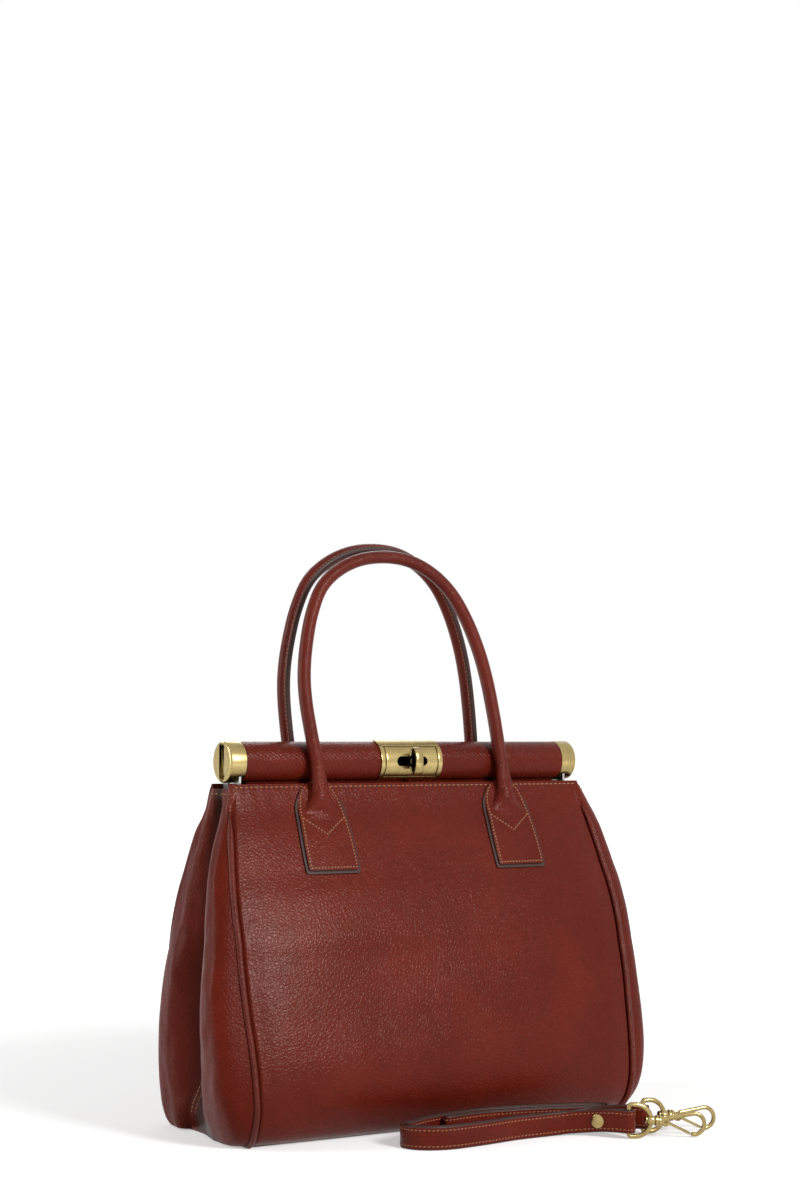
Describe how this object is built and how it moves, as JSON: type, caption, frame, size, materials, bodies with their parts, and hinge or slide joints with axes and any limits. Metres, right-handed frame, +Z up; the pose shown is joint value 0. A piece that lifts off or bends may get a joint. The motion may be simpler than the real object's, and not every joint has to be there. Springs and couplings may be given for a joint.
{
  "type": "top handle bag",
  "caption": "Leather doctor-style handbag with a hinged tubular bar frame, turn lock, two rolled handles, pleated gussets and a detached folded shoulder strap.",
  "frame": {"origin": "on the floor under the middle of the bag", "axes": "X along the closed bars, -Y to the front with the lock, +Z up"},
  "size_m": [0.341, 0.2586, 0.4202],
  "materials": {
    "body_leather": "polished",
    "edge_leather": "painted edge",
    "lining_cloth": "woven",
    "antique_brass": "satin",
    "dark_metal": "polished",
    "frame_steel": "satin",
    "base_stiffener": "matt",
    "cord_core": "twisted cord"
  },
  "bodies": {
    "bag_body": {"front_panel": "body_leather", "back_panel": "body_leather", "base_panel": "body_leather", "gusset_left": "body_leather", "gusset_right": "body_leather", "piping_left": "body_leather", "piping_right": "body_leather", "base_board": "base_stiffener", "lining": "lining_cloth", "hinge_pins": "frame_steel", "ring_keepers": "body_leather", "front_tab_ends": "body_leather", "back_tab_ends": "body_leather", "front_backing_ends": "edge_leather", "back_backing_ends": "edge_leather"},
    "front_frame": {"front_panel_top": "body_leather", "front_bar": "frame_steel", "front_bar_cover": "body_leather", "front_end_caps": "antique_brass", "front_arms": "frame_steel", "front_tabs": "body_leather", "front_tab_backings": "edge_leather", "lock_plate": "antique_brass", "lock_case": "antique_brass"},
    "back_frame": {"back_panel_top": "body_leather", "back_bar": "frame_steel", "back_bar_cover": "body_leather", "back_end_caps": "antique_brass", "back_arms": "frame_steel", "back_tabs": "body_leather", "back_tab_backings": "edge_leather", "knob_base_plate": "antique_brass"},
    "knob": {"turn_knob": "antique_brass", "knob_inlay": "dark_metal", "knob_washer": "frame_steel"},
    "front_grip": {"front_handle": "body_leather", "front_handle_core": "cord_core"},
    "back_grip": {"back_handle": "body_leather", "back_handle_core": "cord_core"},
    "left_ring": {"ring_left": "antique_brass"},
    "right_ring": {"ring_right": "antique_brass"},
    "strap_bundle": {"strap": "body_leather", "strap_rivets": "antique_brass"},
    "strap_loop_a": {"loop_a": "antique_brass"},
    "strap_loop_b": {"loop_b": "antique_brass"},
    "snap_hook_a": {"hook_a": "antique_brass", "gate_pin_a": "frame_steel"},
    "snap_hook_b": {"hook_b": "antique_brass", "gate_pin_b": "frame_steel"},
    "trigger_a": {"gate_a": "antique_brass"},
    "trigger_b": {"gate_b": "antique_brass"}
  },
  "joints": [
    {"name": "front_frame_open", "type": "hinge", "parent": "bag_body", "child": "front_frame", "pos_m": [0, 0, 0.1722], "axis": [1, 0, 0], "range_deg": [0, 28], "deforming": ["gusset_left", "gusset_right"]},
    {"name": "back_frame_open", "type": "hinge", "parent": "bag_body", "child": "back_frame", "pos_m": [0, 0, 0.1722], "axis": [-1, 0, 0], "range_deg": [0, 28], "deforming": ["gusset_left", "gusset_right"]},
    {"name": "knob_turn", "type": "hinge", "parent": "front_frame", "child": "knob", "pos_m": [0, -0.02, 0.2592], "axis": [0, -1, 0], "range_deg": [0, 90]},
    {"name": "front_handle_swing", "type": "hinge", "parent": "front_frame", "child": "front_grip", "pos_m": [0, -0.02156, 0.238], "axis": [1, 0, 0], "range_deg": [0, 110]},
    {"name": "back_handle_swing", "type": "hinge", "parent": "back_frame", "child": "back_grip", "pos_m": [0, 0.02156, 0.238], "axis": [-1, 0, 0], "range_deg": [0, 110]},
    {"name": "left_ring_swing", "type": "hinge", "parent": "bag_body", "child": "left_ring", "pos_m": [-0.1327, 0, 0.19296], "axis": [0, -1, 0], "range_deg": [0, 75]},
    {"name": "right_ring_swing", "type": "hinge", "parent": "bag_body", "child": "right_ring", "pos_m": [0.1327, 0, 0.19296], "axis": [0, 1, 0], "range_deg": [0, 75]},
    {"name": "strap_lift", "type": "slide", "parent": "bag_body", "child": "strap_bundle", "axis": [0, 0, 1], "range_m": [0, 0.1]},
    {"name": "loop_a_swing", "type": "hinge", "parent": "strap_bundle", "child": "strap_loop_a", "pos_m": [0.08604, -0.16002, 0.0125], "axis": [0, 0, 1], "range_deg": [-45, 0]},
    {"name": "hook_a_swivel", "type": "hinge", "parent": "strap_loop_a", "child": "snap_hook_a", "pos_m": [0.10036, -0.1667, 0.0125], "axis": [0.9013, -0.4203, -0.1045], "continuous": true},
    {"name": "gate_a_press", "type": "hinge", "parent": "snap_hook_a", "child": "trigger_a", "pos_m": [0.10919, -0.17082, 0.01148], "axis": [-0.4226, -0.9063, 0], "range_deg": [0, 22], "stiffness_Nm_per_rad": 0.02, "springref_deg": -20.05},
    {"name": "loop_b_swing", "type": "hinge", "parent": "strap_bundle", "child": "strap_loop_b", "pos_m": [0.10602, -0.14994, 0.0125], "axis": [0, 0, 1], "range_deg": [0, 35]},
    {"name": "hook_b_swivel", "type": "hinge", "parent": "strap_loop_b", "child": "snap_hook_b", "pos_m": [0.12121, -0.15429, 0.0125], "axis": [0.956, -0.2741, -0.1045], "continuous": true},
    {"name": "gate_b_press", "type": "hinge", "parent": "snap_hook_b", "child": "trigger_b", "pos_m": [0.13058, -0.15698, 0.01148], "axis": [-0.2756, -0.9613, 0], "range_deg": [0, 22], "stiffness_Nm_per_rad": 0.02, "springref_deg": -20.05}
  ]
}
